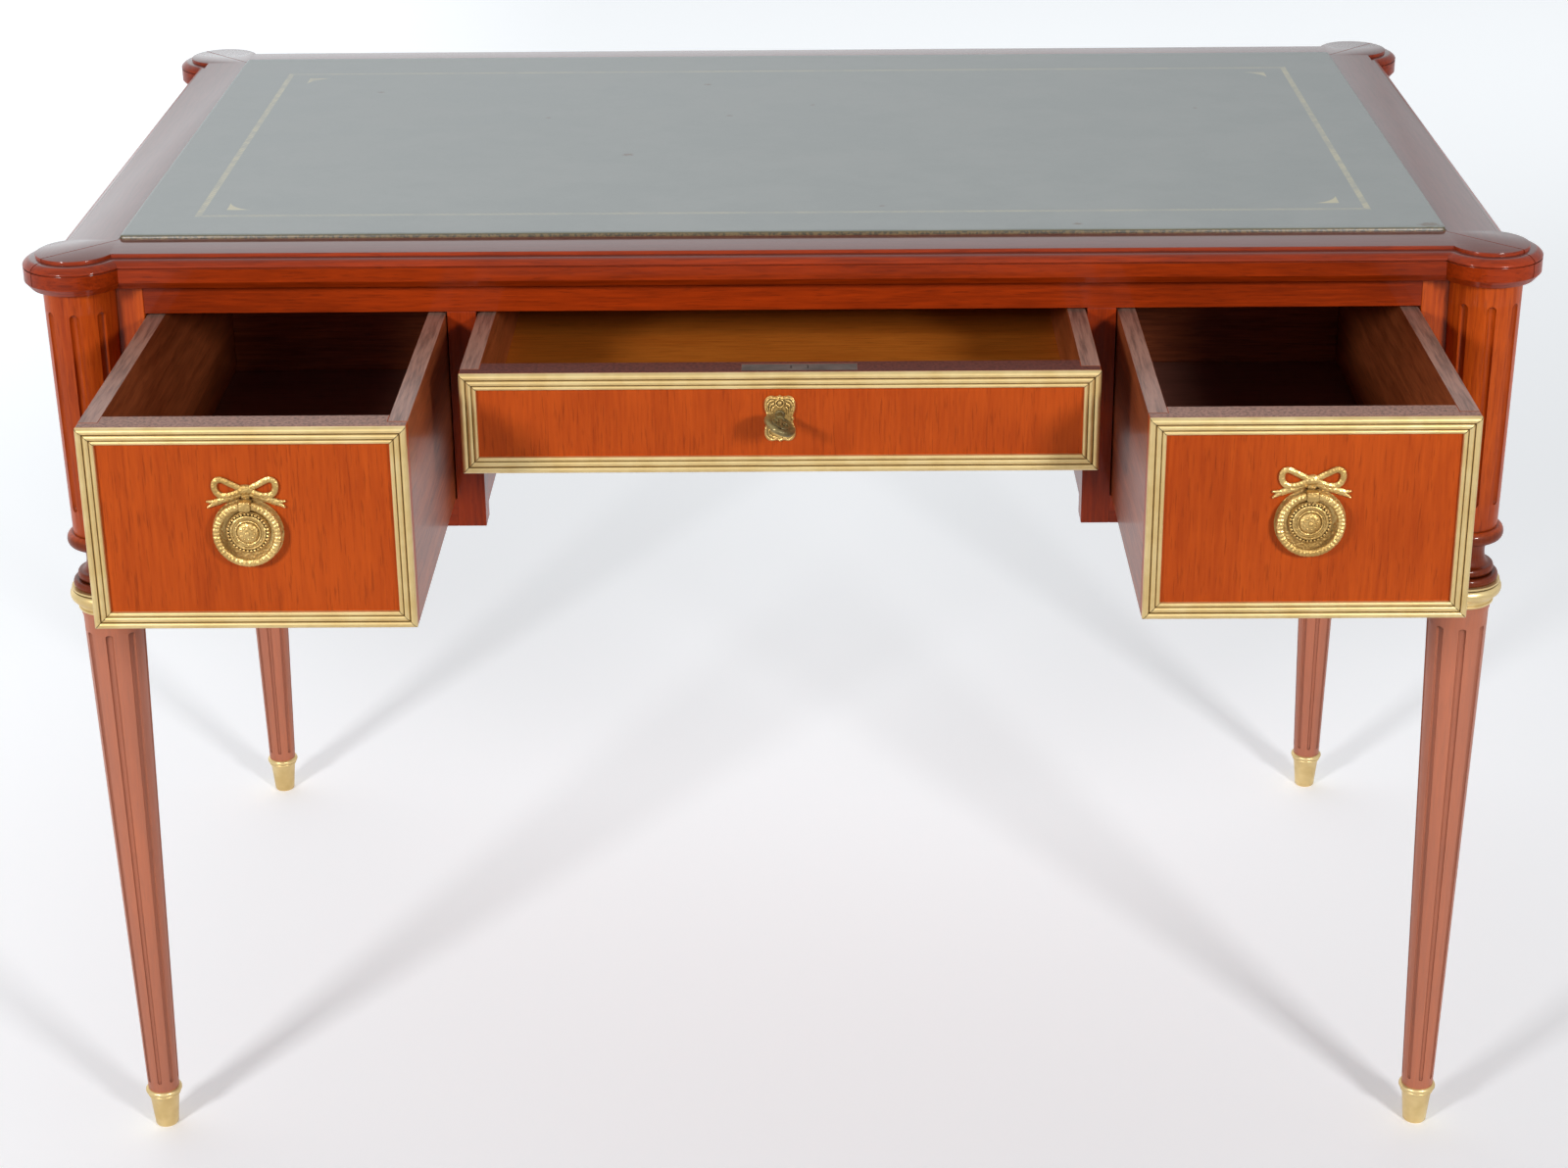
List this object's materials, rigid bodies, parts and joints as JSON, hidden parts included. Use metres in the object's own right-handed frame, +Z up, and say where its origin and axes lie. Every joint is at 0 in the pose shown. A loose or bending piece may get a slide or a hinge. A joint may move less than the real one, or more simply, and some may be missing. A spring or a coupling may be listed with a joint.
{
  "type": "writing desk",
  "caption": "Flat writing desk with a leather-lined top, round corner ears, sliding drawers with brass frames and ring pulls, and turned fluted legs.",
  "frame": {"origin": "on the floor, in the middle of the box that holds the desk with its drawers as pictured", "axes": "+X along the desk to the right of a person at its front, +Y from the front to the back, +Z up"},
  "size_m": [1.1244, 0.9033, 0.7636],
  "materials": {
    "mahogany": "gloss varnish",
    "inner_wood": "plain",
    "leather": "worn",
    "brass": "polished",
    "steel": "dull",
    "key_metal": "dull"
  },
  "bodies": {
    "desk": {"top_rail_front": "mahogany", "top_rail_right": "mahogany", "top_rail_back": "mahogany", "top_rail_left": "mahogany", "top_panel": "mahogany", "leather_lining": "leather", "leg_front_left": "mahogany", "leg_front_right": "mahogany", "leg_back_right": "mahogany", "leg_back_left": "mahogany", "leg_collars": "brass", "foot_cups": "brass", "front_rail": "mahogany", "bottom_rail_left": "mahogany", "bottom_rail_right": "mahogany", "bottom_rail_centre": "mahogany", "divider_left": "mahogany", "divider_right": "mahogany", "partition_left": "mahogany", "partition_right": "mahogany", "side_panel_left": "mahogany", "side_panel_right": "mahogany", "back_panel": "mahogany", "side_mouldings": "brass", "back_mouldings": "brass", "dustboard_left": "inner_wood", "dustboard_right": "inner_wood", "dustboard_centre": "inner_wood", "kickers": "inner_wood", "drawer_guides": "inner_wood", "drawer_stops": "inner_wood"},
    "left_drawer": {"left_drawer_front": "mahogany", "left_drawer_side_left": "inner_wood", "left_drawer_side_right": "inner_wood", "left_drawer_back": "inner_wood", "left_drawer_bottom": "inner_wood", "left_drawer_moulding": "brass", "left_pull_plate": "brass"},
    "right_drawer": {"right_drawer_front": "mahogany", "right_drawer_side_left": "inner_wood", "right_drawer_side_right": "inner_wood", "right_drawer_back": "inner_wood", "right_drawer_bottom": "inner_wood", "right_drawer_moulding": "brass", "right_pull_plate": "brass"},
    "centre_drawer": {"centre_drawer_front": "mahogany", "centre_drawer_side_left": "inner_wood", "centre_drawer_side_right": "inner_wood", "centre_drawer_back": "inner_wood", "centre_drawer_bottom": "inner_wood", "centre_drawer_moulding": "brass", "lock_case": "steel", "escutcheon": "brass"},
    "left_ring": {"left_pull_ring": "brass"},
    "right_ring": {"right_pull_ring": "brass"},
    "key": {"key": "key_metal"},
    "bolt": {"lock_bolt": "steel"}
  },
  "joints": [
    {"name": "left_drawer_slide", "type": "slide", "parent": "desk", "child": "left_drawer", "axis": [0, -1, 0], "range_m": [-0.2394, 0.11]},
    {"name": "right_drawer_slide", "type": "slide", "parent": "desk", "child": "right_drawer", "axis": [0, -1, 0], "range_m": [-0.2314, 0.118]},
    {"name": "centre_drawer_slide", "type": "slide", "parent": "desk", "child": "centre_drawer", "axis": [0, -1, 0], "range_m": [-0.1335, 0.2]},
    {"name": "left_ring_swing", "type": "hinge", "parent": "left_drawer", "child": "left_ring", "pos_m": [-0.36242, -0.4483, 0.65355], "axis": [-1, 0, 0], "range_deg": [0, 95]},
    {"name": "right_ring_swing", "type": "hinge", "parent": "right_drawer", "child": "right_ring", "pos_m": [0.36242, -0.4403, 0.65355], "axis": [-1, 0, 0], "range_deg": [0, 95]},
    {"name": "key_turning", "type": "hinge", "parent": "centre_drawer", "child": "key", "pos_m": [0, -0.336, 0.677], "axis": [0, 1, 0], "range_deg": [0, 90]},
    {"name": "bolt_throw", "type": "slide", "parent": "centre_drawer", "child": "bolt", "axis": [0, 0, 1], "range_m": [0, 0.007]}
  ],
  "couplings": [
    {"joint": "bolt_throw", "follows": "key_turning", "m_per_rad": 0.00445}
  ]
}
